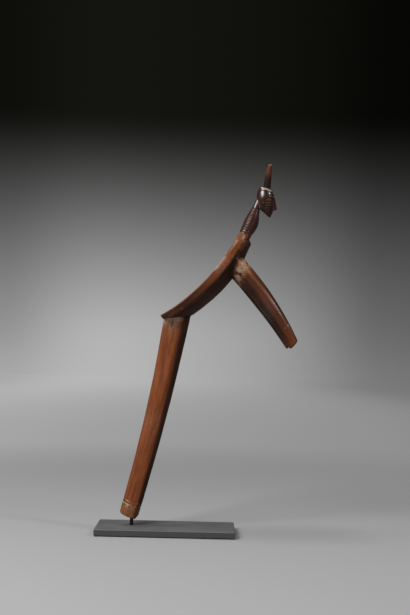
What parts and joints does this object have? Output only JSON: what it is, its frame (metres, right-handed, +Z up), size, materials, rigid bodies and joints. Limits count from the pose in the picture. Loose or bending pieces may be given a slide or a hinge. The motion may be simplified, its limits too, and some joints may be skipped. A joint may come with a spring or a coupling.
{
  "type": "carved wooden stool",
  "caption": "Low carved stool with a long back leg, a front pair of legs, a curved seat and a head-topped handle, shown upright on a plate-and-pin display stand.",
  "frame": {"origin": "centre of the felt's underside, where the stand meets the shelf", "axes": "+X along the plate towards the side the head looks to, +Y to the back, +Z up; the stool is even about the plane Y = 0"},
  "size_m": [0.3399, 0.108, 0.6503],
  "materials": {
    "brown_wood": "worn, handled hardwood",
    "dark_wood": "dark glossy patina",
    "painted_steel": "satin grey",
    "dark_steel": "blackened",
    "felt": "black felt"
  },
  "bodies": {
    "stand": {"base_plate": "painted_steel", "base_felt": "felt"},
    "pin": {"mount_pin": "dark_steel", "pin_screw": "dark_steel"},
    "stool": {"seat": "brown_wood", "long_leg": "brown_wood", "front_leg_left": "brown_wood", "front_leg_right": "brown_wood", "neck": "dark_wood", "head": "dark_wood", "topknot": "dark_wood"}
  },
  "joints": [
    {"name": "swivel", "type": "hinge", "parent": "stand", "child": "pin", "pos_m": [-0.0595, 0, 0.012], "axis": [0, 0, 1], "continuous": true},
    {"name": "lift_off", "type": "slide", "parent": "pin", "child": "stool", "axis": [0, 0, 1], "range_m": [0, 0.06]}
  ]
}
